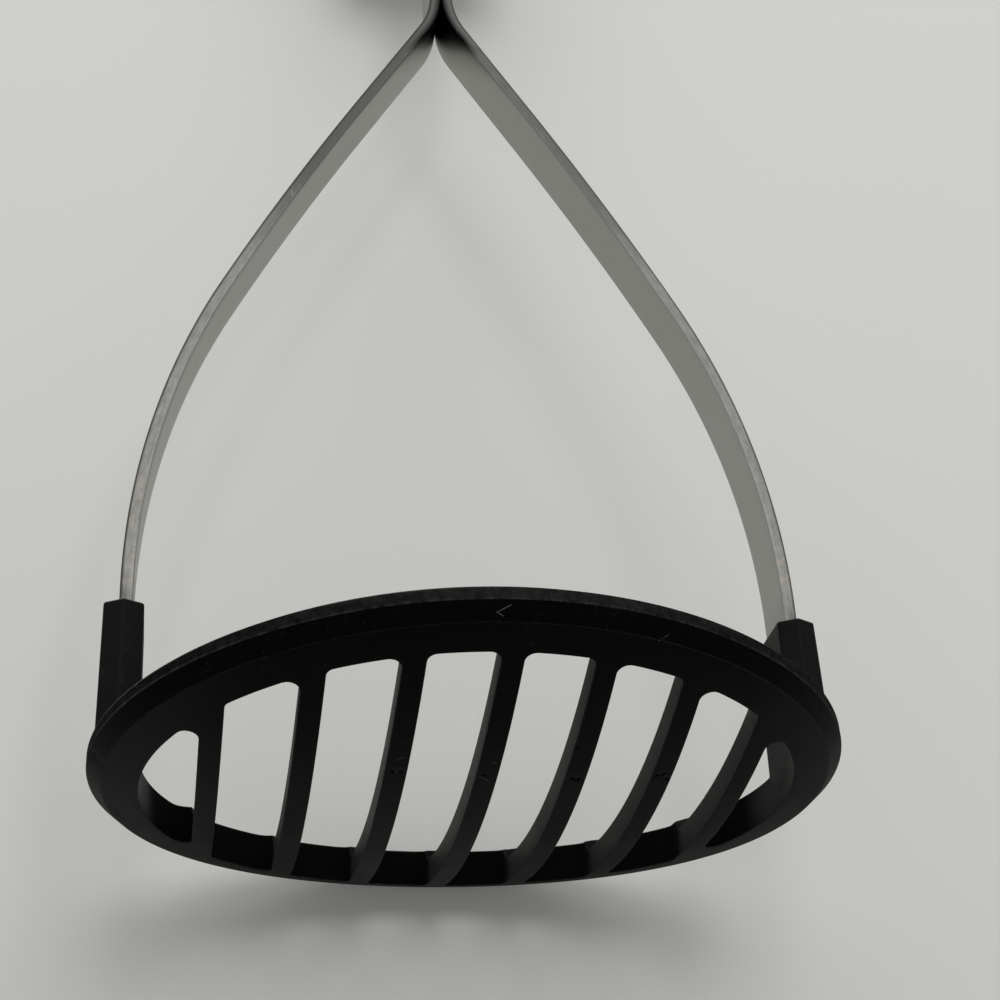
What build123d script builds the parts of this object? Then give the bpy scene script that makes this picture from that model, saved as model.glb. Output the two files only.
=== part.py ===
from build123d import *
import os
from math import acos, asin, atan2, cos, degrees, hypot, radians, sin, sqrt

os.makedirs("parts", exist_ok=True)

# Potato masher, millimetres.
# Each piece is first built standing up: Z runs from the middle of the mashing face to
# the butt of the handle, X is the long way of the head, and -Y is the top side.
# At the end the tool is laid down as it lies on a table.

# Mashing head
pitch = 12.5                # from bar to bar
bar_width = 3.1
slot_count = 8
plate_thickness = 4.3
rim_thickness = 5.9         # of the rim round the slots, at its inner edge
face_radius_long = 260.0    # dome of the face along X
face_radius_short = 125.0   # dome of the face along Y
outer_slot_trim = 1.55      # taken off the outermost slots by the slotted oval
slotted_half_short = 39.2   # half height of the oval that the slots fill
slot_corner = 1.5
rim_width_long = 7.3        # from the slotted oval to the outline
rim_width_short = 6.9
face_chamfer = 2.2          # on the face, and its share of the wall of the rim
wall_chamfer = 1.5
back_chamfer = 2.9
head_rake = 3.5             # degrees between the plate and the plane across the tool
blank_overrun = 5.0         # how far tools for cutting reach past what they cut

# Sockets on the head that hold the strips
tower_top = 30.5            # above the middle of the face
socket_side_wall = 1.87
socket_end_wall = 1.25      # to the corners of the long sides
socket_inset = 4.45         # from the outline to the middle of the strip
socket_outset = 0.25        # from there outwards to the middle of the socket
tower_ridge = 1.5           # how far each end stands out in a ridge
tower_draft = 0.5           # degrees
pocket_depth = 20.5
key_height = 5.0
key_width = 4.0
key_rise = 5.0              # from the floor of the pocket to the middle of the key
key_corner = 1.0

# Flat steel strips
strip_thickness = 2.0
strip_width = 9.5
upright_rise = 3.3          # from the top of the socket to the start of the lower bend
shoulder_radius = 120.0
shoulder_turn = 27.13       # degrees
flank_radius = 590.0
flank_turn = 4.39           # degrees
neck_radius = 15.5
bare_tang = 22.0            # between the neck and the collar
tang_depth = 60.0           # inside the handle
tang_end_corner = 2.0

# Rivets through the tang
rivet_radius = 1.6
rivet_head_radius = 2.8
rivet_head_height = 1.4
rivet_count = 2
rivet_first = 28.0          # behind the front of the handle
rivet_gap = 20.0

# Handle, an oval all along: half thicknesses, and places behind its front
handle_oval_ratio = 1.2     # width over thickness
front_round = 3.0
sharpest_share = 0.1        # of the front round that is left once the skin is off
waist_half = 11.4
waist_place = 29.0
swell_half = 14.0
swell_place = 72.0
swell_radius = 60.0
tail_half = 9.9
tail_sweep = 20.0
tail_place = 108.0
tail_round = 9.0
collar_length = 12.0
collar_wall = 1.4
grip_length = 74.0
grip_wall = 2.6
groove_count = 6
groove_first = 22.0
groove_gap = 8.0
groove_radius = 1.1
groove_depth = 0.5

# End cap
cap_wall = 3.0
spigot_length = 8.0
flat_half = 7.0             # half thickness between the two flats at the hanging hole
flat_start = 96.0
flat_sweep = 5.0
pin_radius = 1.25
pin_place = 90.5

# Hanging eye
eye_place = 106.0
eye_bore = 4.0
eye_wall = 1.0
eye_chamfer = 0.3


# Worked out places
def sag(radius, reach):
    """Depth of a dome of this radius at this distance from its middle."""
    return radius - sqrt(radius * radius - reach * reach)


slotted_half_long = (slot_count * pitch - bar_width) / 2 - outer_slot_trim
outline_half_long = slotted_half_long + rim_width_long
outline_half_short = slotted_half_short + rim_width_short

strip_half_span = outline_half_long - socket_inset
strip_upright = tower_top + upright_rise
tower_half_width = strip_thickness / 2 + socket_side_wall
tower_half_depth = strip_width / 2 + socket_end_wall
tower_root = sag(face_radius_long, strip_half_span) + plate_thickness / 2
pocket_floor = tower_top - pocket_depth

shoulder_angle = radians(shoulder_turn)
lean_angle = radians(shoulder_turn + flank_turn)
shoulder_centre_x = strip_half_span - shoulder_radius
flank_centre_x = shoulder_centre_x + (shoulder_radius - flank_radius) * cos(shoulder_angle)
flank_centre_z = strip_upright + (shoulder_radius - flank_radius) * sin(shoulder_angle)
flank_end_x = flank_centre_x + flank_radius * cos(lean_angle)
flank_end_z = flank_centre_z + flank_radius * sin(lean_angle)
neck_centre_x = strip_thickness / 2 + neck_radius
lean_run = (flank_end_x + neck_radius * cos(lean_angle) - neck_centre_x) / sin(lean_angle)
neck_z = flank_end_z + lean_run * cos(lean_angle) + neck_radius * sin(lean_angle)

handle_front = neck_z + bare_tang
tang_end = handle_front + tang_depth
collar_end = handle_front + collar_length
grip_end = collar_end + grip_length
spigot_end = grip_end + spigot_length

# Centres of the arcs of the handle's side, as distance from the axis and height
swell_centre = (swell_half - swell_radius, handle_front + swell_place)
waist_run = swell_place - waist_place
waist_drop = waist_half - swell_centre[0]
waist_radius = (waist_run**2 + waist_drop**2 - swell_radius**2) / (2 * (swell_half - waist_half))
waist_centre = (waist_half + waist_radius, handle_front + waist_place)
tail_drop = tail_half + tail_sweep - swell_centre[0]
sweep_centre = (
    tail_half + tail_sweep,
    swell_centre[1] + sqrt((swell_radius + tail_sweep) ** 2 - tail_drop**2),
)
tail_centre = (tail_half - tail_round, handle_front + tail_place)
handle_end = tail_centre[1] + tail_round


# Helpers
def toward(start, target, distance):
    """Point at this distance from start on the way to target."""
    step_x = target[0] - start[0]
    step_z = target[1] - start[1]
    share = distance / hypot(step_x, step_z)
    return (start[0] + step_x * share, start[1] + step_z * share)


def on_xz(point):
    """Place a pair of X and Z in space."""
    return Vector(point[0], 0, point[1])


def straight(start, end):
    return Edge.make_line(on_xz(start), on_xz(end))


def bend(centre, start, end):
    """Arc round centre, the short way from start to end."""
    radius = hypot(start[0] - centre[0], start[1] - centre[1])
    half_way = ((start[0] + end[0]) / 2, (start[1] + end[1]) / 2)
    return Edge.make_three_point_arc(on_xz(start), on_xz(toward(centre, half_way, radius)), on_xz(end))


def between(shape, low, high):
    """The part of a shape between two heights."""
    width = (swell_half * handle_oval_ratio + blank_overrun) * 2
    return shape & (Pos(0, 0, (low + high) / 2) * Box(width, width, high - low))


# Mashing head
def slot_cutter(index):
    """One slot: as wide as the gap between two bars, with its ends on the slotted oval."""
    middle = (index - (slot_count - 1) / 2) * pitch
    height = sag(face_radius_short, outline_half_short) + rim_thickness + blank_overrun
    strip = Pos(middle, 0) * Rectangle(pitch - bar_width, outline_half_short * 2)
    outline = Ellipse(slotted_half_long, slotted_half_short) & strip
    block = Pos(0, 0, -blank_overrun) * extrude(outline, height + blank_overrun)
    uprights = block.edges().filter_by(Axis.Z)
    return fillet(uprights, slot_corner)


def make_dome(front, back):
    """Curved blank between two depths behind the face, larger than the head's outline."""
    reach = outline_half_short + blank_overrun
    edge_rise = sag(face_radius_short, reach)
    middle_arc = Edge.make_three_point_arc(
        Vector(0, -reach, edge_rise), Vector(0, 0, 0), Vector(0, reach, edge_rise))
    side_edges = [
        Edge.make_line(Vector(0, y, edge_rise + front), Vector(0, y, edge_rise + back))
        for y in (-reach, reach)
    ]
    front_arc = middle_arc.moved(Location((0, 0, front)))
    back_arc = middle_arc.moved(Location((0, 0, back)))
    section = Face(Wire([front_arc, side_edges[0], side_edges[1], back_arc]))
    swing = degrees(asin((outline_half_long + blank_overrun) / face_radius_long))
    swing_axis = Axis((0, 0, face_radius_long), (0, 1, 0))
    return revolve(section.rotate(swing_axis, -swing), swing_axis, 2 * swing)


def upright_oval(half_long, half_short):
    """Oval column through the whole head."""
    height = sag(face_radius_short, outline_half_short) + rim_thickness + blank_overrun
    return Pos(0, 0, -blank_overrun) * extrude(Ellipse(half_long, half_short), height + blank_overrun)


def make_plate():
    """Domed oval plate with its slots and its thicker rim, in its own frame, not yet raked."""
    plate = make_dome(0, rim_thickness) & upright_oval(outline_half_long, outline_half_short)
    front_face = plate.faces().sort_by(SortBy.AREA)[-2:].sort_by(Axis.Z)[0]
    plate = chamfer(front_face.edges(), face_chamfer, wall_chamfer, reference=front_face)
    back_face = plate.faces().sort_by(SortBy.AREA)[-2:].sort_by(Axis.Z)[-1]
    plate = chamfer(back_face.edges(), back_chamfer)
    recess = make_dome(plate_thickness, rim_thickness + blank_overrun)
    recess = recess & upright_oval(
        slotted_half_long - slot_corner / 2, slotted_half_short - slot_corner / 2)
    plate = plate - recess
    for index in range(slot_count):
        plate = plate - slot_cutter(index)
    return plate


def hexagon(half_width, half_depth, ridge):
    """Long hexagon with a ridge at each end."""
    return make_face(Polyline(
        (half_width, -half_depth),
        (half_width, half_depth),
        (0, half_depth + ridge),
        (-half_width, half_depth),
        (-half_width, -half_depth),
        (0, -half_depth - ridge),
        close=True,
    ))


def make_tower(side):
    """Socket for one strip, standing along the tool, with a key through the strip's window."""
    growth = (tower_top - tower_root) * sin(radians(tower_draft)) / cos(radians(tower_draft))
    top = Pos(0, 0, tower_top) * hexagon(tower_half_width, tower_half_depth, tower_ridge)
    root = Pos(0, 0, tower_root) * hexagon(
        tower_half_width + growth, tower_half_depth + growth, tower_ridge)
    body = loft([root, top], ruled=True)
    return Pos(side * (strip_half_span + socket_outset), 0, 0) * body


def make_window(depth):
    """Rounded block the size of the window near the foot of a strip."""
    middle = pocket_floor + key_rise
    block = Pos(0, 0, middle) * Box(depth, key_width, key_height)
    return fillet(block.edges().filter_by(Axis.X), key_corner)


def make_head():
    head = Rot(X=-head_rake) * make_plate()
    for side in (-1, 1):
        pocket = Pos(side * strip_half_span, 0, (pocket_floor + tower_top + blank_overrun) / 2) * Box(
            strip_thickness, strip_width, tower_top + blank_overrun - pocket_floor)
        key = Pos(side * strip_half_span, 0, 0) * make_window(strip_thickness)
        head = head + make_tower(side)
        head = head - (pocket - key)
    return head


# Strips
def strip_edges(offset):
    """One side of the right-hand strip, this far outside its middle line, foot to tang."""
    foot = (strip_half_span + offset, pocket_floor)
    bend_start = (strip_half_span + offset, strip_upright)
    reach = shoulder_radius + offset
    bend_end = (
        shoulder_centre_x + reach * cos(shoulder_angle),
        strip_upright + reach * sin(shoulder_angle),
    )
    lean_start = (
        flank_end_x + offset * cos(lean_angle),
        flank_end_z + offset * sin(lean_angle),
    )
    lean_end = (
        lean_start[0] - lean_run * sin(lean_angle),
        lean_start[1] + lean_run * cos(lean_angle),
    )
    neck_end = (strip_thickness / 2 + offset, neck_z)
    tip = (strip_thickness / 2 + offset, tang_end)
    return [
        straight(foot, bend_start),
        bend((shoulder_centre_x, strip_upright), bend_start, bend_end),
        bend((flank_centre_x, flank_centre_z), bend_end, lean_start),
        straight(lean_start, lean_end),
        bend((neck_centre_x, neck_z), lean_end, neck_end),
        straight(neck_end, tip),
    ]


def rivet_places():
    return [handle_front + rivet_first + index * rivet_gap for index in range(rivet_count)]


def make_strip():
    """Right-hand strip."""
    half = strip_thickness / 2
    foot = straight((strip_half_span - half, pocket_floor), (strip_half_span + half, pocket_floor))
    tip = straight((0, tang_end), (strip_thickness, tang_end))
    outline = Face(Wire(strip_edges(-half) + strip_edges(half) + [foot, tip]))
    strip = extrude(outline, strip_width / 2, dir=(0, 1, 0), both=True)
    tip_edges = strip.edges().filter_by(Axis.X).group_by(Axis.Z)[-1]
    strip = fillet(tip_edges, tang_end_corner)
    strip = strip - (Pos(strip_half_span, 0, 0) * make_window(strip_thickness + blank_overrun))
    for place in rivet_places():
        hole = Pos(0, 0, place) * Rot(Y=90) * Cylinder(rivet_radius, (strip_thickness + blank_overrun) * 2)
        strip = strip - hole
    return strip


# Handle
def handle_blank(skin):
    """The whole handle as one solid, with this much skin taken off all round."""
    corner = max(front_round - skin, front_round * sharpest_share)
    front_z = handle_front + skin + corner
    reach = waist_radius + skin + corner
    front_centre = (waist_centre[0] - sqrt(reach**2 - (waist_centre[1] - front_z) ** 2), front_z)
    front_tangent = toward(front_centre, waist_centre, corner)
    waist_tangent = toward(swell_centre, waist_centre, swell_radius - skin)
    sweep_tangent = toward(swell_centre, sweep_centre, swell_radius - skin)
    nose = (front_centre[0], handle_front + skin)
    sweep_end = (tail_half - skin, sweep_centre[1])
    tail_start = (tail_half - skin, tail_centre[1])
    tail_end = (tail_centre[0], handle_end - skin)
    edges = [
        straight((0, handle_front + skin), nose),
        bend(front_centre, nose, front_tangent),
        bend(waist_centre, front_tangent, waist_tangent),
        bend(swell_centre, waist_tangent, sweep_tangent),
        bend(sweep_centre, sweep_tangent, sweep_end),
        straight(sweep_end, tail_start),
        bend(tail_centre, tail_start, tail_end),
        straight(tail_end, (0, handle_end - skin)),
        straight((0, handle_end - skin), (0, handle_front + skin)),
    ]
    round_blank = revolve(Face(Wire(edges)), Axis.Z)
    return scale(round_blank, by=(handle_oval_ratio, 1, 1))


def tang_slot():
    """Room for the two strips lying face to face."""
    low = handle_front - blank_overrun
    return Pos(0, 0, (low + tang_end) / 2) * Box(strip_thickness * 2, strip_width, tang_end - low)


def tang_block():
    """The two strips' tang as one block with its rounded end."""
    block = tang_slot()
    tip_edges = block.edges().filter_by(Axis.X).group_by(Axis.Z)[-1]
    return fillet(tip_edges, tang_end_corner)


def make_rivets():
    """Two rivets across the core, with their heads flush with its sides."""
    core_room = handle_blank(grip_wall)
    reach = swell_half * handle_oval_ratio
    rivets = []
    for place in rivet_places():
        height = place - waist_centre[1]
        side = waist_centre[0] - sqrt((waist_radius + grip_wall) ** 2 - height**2)
        head_start = side * handle_oval_ratio - rivet_head_height
        body = Rot(Y=90) * Cylinder(rivet_radius, reach * 2)
        for way in (-1, 1):
            head_reach = head_start + rivet_head_height + rivet_head_height
            head = Pos(way * (head_start + head_reach) / 2, 0, 0) * Rot(Y=90) * Cylinder(
                rivet_head_radius, head_reach - head_start)
            body = body + head
        rivets.append((Pos(0, 0, place) * body) & core_room)
    return rivets


def make_collar():
    shell = between(handle_blank(0), handle_front, collar_end)
    shell = shell - between(handle_blank(collar_wall), handle_front, collar_end)
    return shell - tang_block()


def make_pin():
    """Cross pin that holds the end cap on the core, flush with both sides."""
    length = swell_half * handle_oval_ratio * 2
    pin = Pos(0, 0, handle_front + pin_place) * Rot(Y=90) * Cylinder(pin_radius, length)
    return pin & handle_blank(0)


def make_core(rivets, pin):
    front = between(handle_blank(collar_wall), handle_front, collar_end)
    middle = between(handle_blank(grip_wall), collar_end, grip_end)
    rear = between(handle_blank(cap_wall), grip_end, spigot_end)
    core = front + middle + rear
    core = core - tang_block()
    for rivet in rivets:
        core = core - rivet
    return core - pin


def groove_rings():
    """Shallow finger grooves round the waist of the grip."""
    rings = []
    for index in range(groove_count):
        place = handle_front + groove_first + index * groove_gap
        height = place - waist_centre[1]
        side = waist_centre[0] - sqrt(waist_radius**2 - height**2)
        ring = Pos(0, 0, place) * Torus(side + groove_radius - groove_depth, groove_radius)
        rings.append(scale(ring, by=(handle_oval_ratio, 1, 1)))
    return rings


def make_grip():
    grip = between(handle_blank(0), collar_end, grip_end)
    grip = grip - between(handle_blank(grip_wall), collar_end, grip_end)
    for ring in groove_rings():
        grip = grip - ring
    return grip


def make_cap(pin):
    cap = between(handle_blank(0), grip_end, handle_end + blank_overrun)
    cap = cap - between(handle_blank(cap_wall), grip_end, spigot_end)
    low = handle_front + flat_start
    high = handle_end + blank_overrun
    width = swell_half * handle_oval_ratio * 2 + blank_overrun
    depth = swell_half + blank_overrun
    for side in (-1, 1):
        block = Pos(0, side * (flat_half + depth / 2), (low + high) / 2) * Box(width, depth, high - low)
        corner = block.edges().filter_by(Axis.X).group_by(Axis.Z)[0].sort_by(Axis.Y)
        inner_edge = corner[0] if side > 0 else corner[-1]
        cap = cap - fillet(inner_edge, flat_sweep)
    eye_hole = Rot(X=90) * Cylinder(eye_bore + eye_wall, flat_half * 2 + blank_overrun)
    cap = cap - (Pos(0, 0, handle_front + eye_place) * eye_hole)
    return cap - pin


def make_eyelet():
    ring = Cylinder(eye_bore + eye_wall, flat_half * 2) - Cylinder(eye_bore, flat_half * 2)
    mouth_edges = ring.edges().filter_by(GeomType.CIRCLE).filter_by(
        lambda edge: edge.radius < eye_bore + eye_wall / 2)
    ring = chamfer(mouth_edges, eye_chamfer)
    return Pos(0, 0, handle_front + eye_place) * Rot(X=90) * ring


# Laying it down
def resting_tilt():
    """Angle of the tool on the table, resting on the lowest point of the head's back edge
    and on the swell of the handle, and the height of the tool's origin above the table."""
    rake = radians(head_rake)
    back_edge = sag(face_radius_short, outline_half_short) + rim_thickness - back_chamfer
    low_y = outline_half_short * cos(rake) + back_edge * sin(rake)
    low_z = back_edge * cos(rake) - outline_half_short * sin(rake)
    run = low_z - swell_centre[1]
    drop = low_y - swell_centre[0]
    tilt = atan2(run, drop) + acos(swell_radius / hypot(run, drop))
    return degrees(tilt), low_y * cos(tilt) + low_z * sin(tilt)


right_strip = make_strip()
cap_pin = make_pin()
rivet_pair = make_rivets()
pieces = {
    "mash_head": make_head(),
    "left_strip": mirror(right_strip, Plane.YZ),
    "right_strip": right_strip,
    "tang_rivets": Compound(rivet_pair),
    "neck_collar": make_collar(),
    "handle_core": make_core(rivet_pair, cap_pin),
    "soft_grip": make_grip(),
    "end_cap": make_cap(cap_pin),
    "hang_eyelet": make_eyelet(),
    "cap_pin": cap_pin,
}

tilt, rise = resting_tilt()
laid = {name: Pos(0, 0, rise) * Rot(X=-90 - tilt) * piece for name, piece in pieces.items()}
extent = Compound([solid for piece in laid.values() for solid in piece.solids()]).bounding_box()
centring = Pos(0, -(extent.min.Y + extent.max.Y) / 2, 0)

for name, piece in laid.items():
    export_step(centring * piece, os.path.join("parts", name + ".step"))

print("tilt on the table, degrees:", round(tilt, 4))
print("shift along Y:", round(-(extent.min.Y + extent.max.Y) / 2, 4))
print("rise of the middle of the face:", round(rise, 4))
print("size:", [round(value, 3) for value in extent.size])
print("neck, handle front, handle end:", round(neck_z, 3), round(handle_front, 3), round(handle_end, 3))
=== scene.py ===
import math

import bmesh
import bpy
from mathutils import Matrix, Vector
from mathutils.geometry import delaunay_2d_cdt


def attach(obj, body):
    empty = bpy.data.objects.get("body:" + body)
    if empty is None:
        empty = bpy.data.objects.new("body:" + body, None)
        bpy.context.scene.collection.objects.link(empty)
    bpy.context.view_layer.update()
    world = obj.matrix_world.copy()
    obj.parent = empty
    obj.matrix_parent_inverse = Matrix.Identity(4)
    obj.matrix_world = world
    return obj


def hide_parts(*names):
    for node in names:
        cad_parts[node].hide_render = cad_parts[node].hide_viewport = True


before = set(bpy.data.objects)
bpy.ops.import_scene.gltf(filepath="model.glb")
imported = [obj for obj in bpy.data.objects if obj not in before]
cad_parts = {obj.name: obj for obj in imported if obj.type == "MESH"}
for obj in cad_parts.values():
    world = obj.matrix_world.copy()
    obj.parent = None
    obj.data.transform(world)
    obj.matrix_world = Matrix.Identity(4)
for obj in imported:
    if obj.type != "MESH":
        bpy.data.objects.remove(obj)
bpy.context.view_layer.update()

# Potato masher lying on a table. Sizes are written in millimetres and turned into metres
# where a piece takes its place. The head is drawn in its own frame: u to the right, v up
# across the face, m backwards from the middle of the face. The strips and the handle are
# drawn in the tool's frame: x to the right, y down to the table, z along the tool.
MM = 0.001
HEAD_RAKE = math.radians(3.5)
TILT = math.radians(7.6656)
SHIFT_Y = -144.1915
RISE = 47.5146

# Head
PITCH = 12.5
BAR_WIDTH = 3.1
SLOT_COUNT = 8
PLATE = 4.3
RIM = 5.9
DOME_LONG = 260.0
DOME_SHORT = 125.0
OUTLINE = (54.2, 46.1)
SLOTTED = (46.9, 39.2)
SLOT_CORNER = 1.5
SLOT_DRAFT = 0.15
# Steps along a side and along the end, for an inner slot and for an outermost one
SLOT_STEPS = ((40, 8), (12, 36))
# The slots' walls take painted shade between these distances from their lower ends
SLOT_END_SHADE = (3.5, 7.5)
# The thin middle starts this far inside the slotted oval, with a ramp this long
RECESS = (1.6, 1.0)
FACE_BEVEL = (2.1, 1.5)
BACK_BEVEL = 2.8
# Rounding of the edges from the face to the back, at the slots and at the rim
SLOT_EDGES = (0.16, 0.3)
RIM_EDGES = (0.35, 0.3, 0.35, 0.5)
# Rings shallower than the first sink into dents, deeper than the second follow the back
DEPTH_LIMITS = (2.0, 3.2)
# Points within the face and the back: spacing, and clearance from the slots and the rim
SHEET_STEP = 0.9
SHEET_CLEAR = (0.4, 0.45)
TOWER_TOP = 30.5
POCKET_DEPTH = 20.5
SOCKET_HALF = (2.87, 6.0)
SOCKET_RIDGE = 1.5
SOCKET_OUTSET = 0.25
SOCKET_DRAFT = math.tan(math.radians(0.5))
SOCKET_SIDES = 96
# Radius of the hexagon's corners, and the least that is left where it is drawn in
SOCKET_CORNER = (0.45, 0.2)
SOCKET_FLARE = 0.25
SOCKET_TOP_EDGE = 0.3
SOCKET_LEVELS = (14.5, 19.0, 24.0, TOWER_TOP - 0.4)
# The pocket's mouth: gap round the strip, corner radius and how deep it is drawn
MOUTH = (0.06, 0.3, 3.0)

# Strips
STRIP_THICK = 2.0
STRIP_WIDE = 9.5
STRIP_EDGE = 0.32
HALF_SPAN = 49.75
UPRIGHT = 33.8
SHOULDER_RADIUS = 120.0
FLANK_RADIUS = 590.0
NECK_RADIUS = 15.5
SHOULDER_ANGLE = math.radians(27.13)
LEAN_ANGLE = math.radians(31.52)
NECK_STEPS = 14
NECK_Z = 154.169
TANG_LENGTH = 60.0
# The painted dark reflection between the strips starts and is full at these places, and slants this
# much
CREVICE = (144.5, 149.0, 1.1)

# Handle, an oval all along. Waist: half thickness and place behind its front. Swell: the
# same and its radius. Grip: length and thickness. Grooves: count, first place and spacing.
HANDLE_FRONT = 176.169
OVAL = 1.2
WAIST = (11.4, 29.0)
SWELL = (14.0, 72.0, 60.0)
COLLAR_LENGTH = 12.0
GRIP = (74.0, 2.6)
GROOVES = (6, 22.0, 8.0)
# Half width and depth of a groove, and how far its softened sides reach beyond that width
GROOVE_SHAPE = (1.1, 0.5)
GROOVE_SPREAD = 1.3
SLEEVE_EDGE = 0.6
# Gaps at the sleeve's ends and round the core
SLEEVE_GAPS = (0.03, 0.02)
# Spacing of the rings on the sleeve's outside and in its bore
SLEEVE_STEPS = (0.3, 3.0)
# Faces that meet at more degrees than this keep a crisp edge
SHARP_ANGLE = 50
HEAD_SHARP_ANGLE = 40
TURNED_SIDES = 144


def from_tool(x, y, z):
    """A point of the tool's frame, in metres where the tool lies."""
    along = z * math.cos(TILT) - y * math.sin(TILT) + SHIFT_Y
    height = RISE - z * math.sin(TILT) - y * math.cos(TILT)
    return Vector((x * MM, along * MM, height * MM))


def from_head(u, v, m):
    """A point of the head's frame, in metres where the tool lies."""
    y = -v * math.cos(HEAD_RAKE) + m * math.sin(HEAD_RAKE)
    z = v * math.sin(HEAD_RAKE) + m * math.cos(HEAD_RAKE)
    return from_tool(u, y, z)


def face_depth(u, v):
    """How far the domed face falls back at a place on it."""
    reach = DOME_LONG - DOME_SHORT + math.sqrt(DOME_SHORT**2 - v * v)
    return DOME_LONG - math.sqrt(reach * reach - u * u)


def back_depth(u, v):
    """Thickness behind the face: the bars are thinner than the rim round them."""
    away = (math.hypot(u / SLOTTED[0], v / SLOTTED[1]) - 1) * SLOTTED[1]
    share = min(max((away + RECESS[0]) / RECESS[1] + 1, 0.0), 1.0)
    return PLATE + (RIM - PLATE) * share * share * (3 - 2 * share)


def from_outline(u, v):
    """How far inside the head's outline a place is."""
    reach = math.hypot(u / OUTLINE[0], v / OUTLINE[1])
    slope = math.hypot(u / OUTLINE[0] ** 2, v / OUTLINE[1] ** 2) / max(reach, 1e-6)
    return max((1 - reach) / max(slope, 1e-6), 0.0)


def front_surface(u, v):
    """Depth of the head's front at a place on it, its bevel counted in."""
    return face_depth(u, v) + FACE_BEVEL[1] * max(0.0, 1 - from_outline(u, v) / FACE_BEVEL[0])


def back_surface(u, v):
    """Depth of the head's back at a place on it, its bevel counted in."""
    return face_depth(u, v) + back_depth(u, v) - max(0.0, BACK_BEVEL - from_outline(u, v))


def into_scene(name, data):
    thing = bpy.data.objects.new(name, data)
    bpy.context.scene.collection.objects.link(thing)
    return thing


def new_piece(name, points, faces, smooth_angle=None):
    """Smooth-shaded mesh piece, sharp where its faces meet at more than the angle."""
    mesh = bpy.data.meshes.new(name)
    mesh.from_pydata(points, [], faces)
    mesh.validate()
    mesh.update()
    piece = into_scene(name, mesh)
    mesh.shade_smooth()
    if smooth_angle is not None:
        mesh.set_sharp_from_angle(angle=math.radians(smooth_angle))
    return piece


def face_outward(mesh, weld=None):
    """Turn a closed mesh's faces outward, its doubled points joined first where asked."""
    work = bmesh.new()
    work.from_mesh(mesh)
    if weld is not None:
        bmesh.ops.remove_doubles(work, verts=work.verts, dist=weld)
    bmesh.ops.recalc_face_normals(work, faces=work.faces)
    work.to_mesh(mesh)
    work.free()
    mesh.shade_smooth()
    mesh.set_sharp_from_angle(angle=math.radians(SHARP_ANGLE))


def between(start, end, share):
    """The place a share of the way from one place to another."""
    return (start[0] + (end[0] - start[0]) * share, start[1] + (end[1] - start[1]) * share)


def ring_faces(first, second, count, flip=False):
    """Faces between two rings of points that start at these numbers."""
    quads = [
        (first + i, first + (i + 1) % count, second + (i + 1) % count, second + i)
        for i in range(count)
    ]
    return [quad[::-1] for quad in quads] if flip else quads


def rounded_path(points, radii, steps):
    """A bent line with its inner corners rounded: (place across, depth) pairs."""
    result = [points[0]]
    for before, corner, after, radius in zip(points, points[1:], points[2:], radii):
        a = (Vector(before) - Vector(corner)).normalized()
        b = (Vector(after) - Vector(corner)).normalized()
        half = math.acos(max(-1.0, min(1.0, a.dot(b)))) / 2
        centre = Vector(corner) + (a + b).normalized() * (radius / math.sin(half))
        start = Vector(corner) + a * (radius / math.tan(half)) - centre
        end = Vector(corner) + b * (radius / math.tan(half)) - centre
        for step in range(steps + 1):
            way = start.lerp(end, step / steps).normalized() * radius
            result.append(tuple(centre + way))
    result.append(points[-1])
    return result


def outline_loop(inset, count=300):
    """The head's oval outline moved inwards along its normal."""
    loop = []
    for index in range(count):
        angle = 2 * math.pi * index / count
        u = OUTLINE[0] * math.cos(angle)
        v = OUTLINE[1] * math.sin(angle)
        out = Vector((u / OUTLINE[0] ** 2, v / OUTLINE[1] ** 2)).normalized()
        loop.append((u - out.x * inset, v - out.y * inset))
    return loop


def slot_span(index):
    middle = (index - (SLOT_COUNT - 1) / 2) * PITCH
    half = (PITCH - BAR_WIDTH) / 2
    return middle - half, middle + half


def slot_loop(index, grow):
    """Outline of one slot, made larger all round, anticlockwise from its right side."""
    left, right = slot_span(index)
    half_long, half_short = SLOTTED[0] - SLOT_CORNER, SLOTTED[1] - SLOT_CORNER
    radius = SLOT_CORNER + grow
    has_right, has_left = right <= half_long, left >= -half_long
    side_steps, end_steps = SLOT_STEPS[0 if has_right and has_left else 1]

    def corner_centre(u):
        return u, half_short * math.sqrt(max(1 - (u / half_long) ** 2, 0.0))

    def end_angle(u, v):
        return math.atan2(v / half_short, u / half_long)

    def end_normal(u, v):
        return math.atan2(v / half_short**2, u / half_long**2)

    def end_point(angle):
        u, v = half_long * math.cos(angle), half_short * math.sin(angle)
        facing = end_normal(u, v)
        return u + radius * math.cos(facing), v + radius * math.sin(facing)

    # right side from the middle upwards, corner, end, corner, left side down to the middle
    half = []
    start, end = 0.0, math.pi
    if has_right:
        u, v = corner_centre(right - SLOT_CORNER)
        half += [(right + grow, v * s / side_steps) for s in range(side_steps)]
        half += turn_corner(u, v, 0.0, end_normal(u, v), radius)
        start = end_angle(u, v)
    if has_left:
        u, v = corner_centre(left + SLOT_CORNER)
        end = end_angle(u, v)
    steps = range(int(has_right), end_steps + int(not has_left))
    half += [end_point(start + (end - start) * s / end_steps) for s in steps]
    if has_left:
        half += turn_corner(u, v, end_normal(u, v), math.pi, radius)
        half += [(left - grow, v * (1 - s / side_steps)) for s in range(1, side_steps + 1)]
    lower = [(u, -v) for u, v in reversed(half)]
    # both ends lie on the middle line, so each is kept once
    return half + lower[1:-1]


def turn_corner(u, v, start, end, radius, steps=7):
    return [
        (u + radius * math.cos(start + (end - start) * s / steps),
         v + radius * math.sin(start + (end - start) * s / steps))
        for s in range(steps + 1)
    ]


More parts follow.
